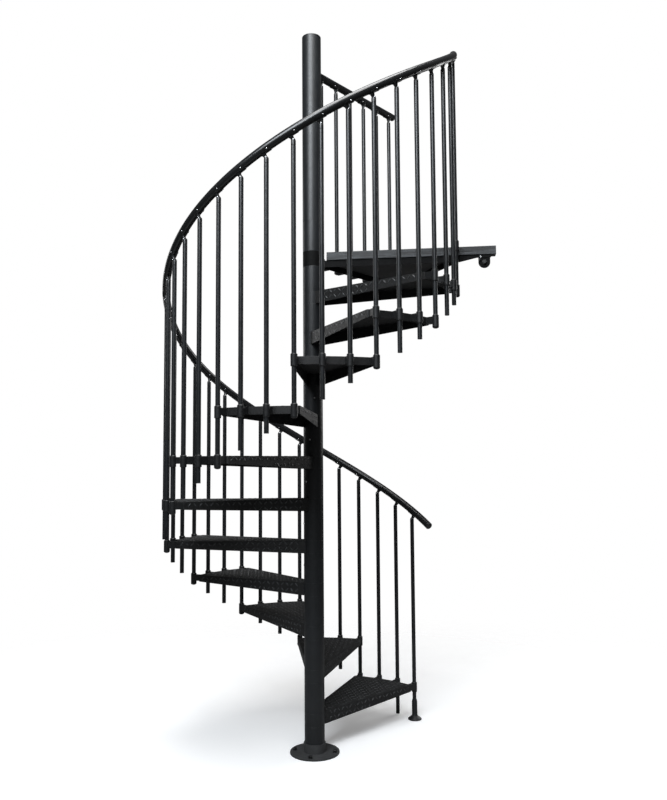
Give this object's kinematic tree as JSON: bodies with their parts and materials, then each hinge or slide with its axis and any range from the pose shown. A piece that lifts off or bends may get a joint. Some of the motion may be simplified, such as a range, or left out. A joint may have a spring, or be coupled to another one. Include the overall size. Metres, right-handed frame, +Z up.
{
  "type": "spiral staircase",
  "caption": "Modular spiral staircase: pan treads stacked on a round column, a helical handrail on upright balusters, and a triangular top platform with its own railing.",
  "frame": {"origin": "the column's axis where the base plate's underside meets the floor", "axes": "+Z up along the column; +X to the picture's right and +Y away from its camera; the stair climbs counter-clockwise seen from above"},
  "size_m": [1.7288, 1.5528, 3.753],
  "materials": {
    "tread_plate": "textured black powder coat over raised tread plate",
    "holder_plastic": "matt moulded black",
    "connector_plastic": "satin moulded black",
    "baluster_coat": "satin charcoal powder coat",
    "rail_cap_plastic": "satin moulded black",
    "rail_coat": "satin black coat",
    "column_coat": "satin charcoal powder coat",
    "core_steel": "black primer, hidden inside the sleeves",
    "screw_steel": "bright zinc",
    "board_top": "charcoal-stained board with a brushed grain",
    "board_edge": "charcoal-stained board with a brushed grain",
    "base_coat": "satin black powder coat",
    "frame_coat": "satin black powder coat"
  },
  "bodies": {
    "root": {"base_plate": "base_coat", "column_core": "core_steel", "column_sleeves": "column_coat", "column_top": "column_coat", "column_cap": "column_coat", "set_screws": "screw_steel", "tread_01": "tread_plate", "tread_02": "tread_plate", "tread_03": "tread_plate", "tread_04": "tread_plate", "tread_05": "tread_plate", "tread_06": "tread_plate", "tread_07": "tread_plate", "tread_08": "tread_plate", "tread_09": "tread_plate", "tread_10": "tread_plate", "tread_11": "tread_plate", "holders_lower": "holder_plastic", "holders_middle": "holder_plastic", "holders_upper": "holder_plastic", "newel_foot": "holder_plastic", "balusters_lower": "baluster_coat", "balusters_middle": "baluster_coat", "balusters_upper": "baluster_coat", "connectors_lower": "connector_plastic", "connectors_middle": "connector_plastic", "connectors_upper": "connector_plastic", "handrail_1": "rail_coat", "handrail_2": "rail_coat", "handrail_3": "rail_coat", "handrail_4": "rail_coat", "handrail_caps": "rail_cap_plastic", "platform_frame": "frame_coat", "platform_deck": "board_top", "platform_strip": "board_edge", "floor_bracket": "frame_coat", "platform_holders": "holder_plastic", "platform_balusters": "baluster_coat", "platform_connectors": "connector_plastic", "platform_handrail": "rail_coat", "platform_rail_caps": "rail_cap_plastic"}
  },
  "joints": []
}
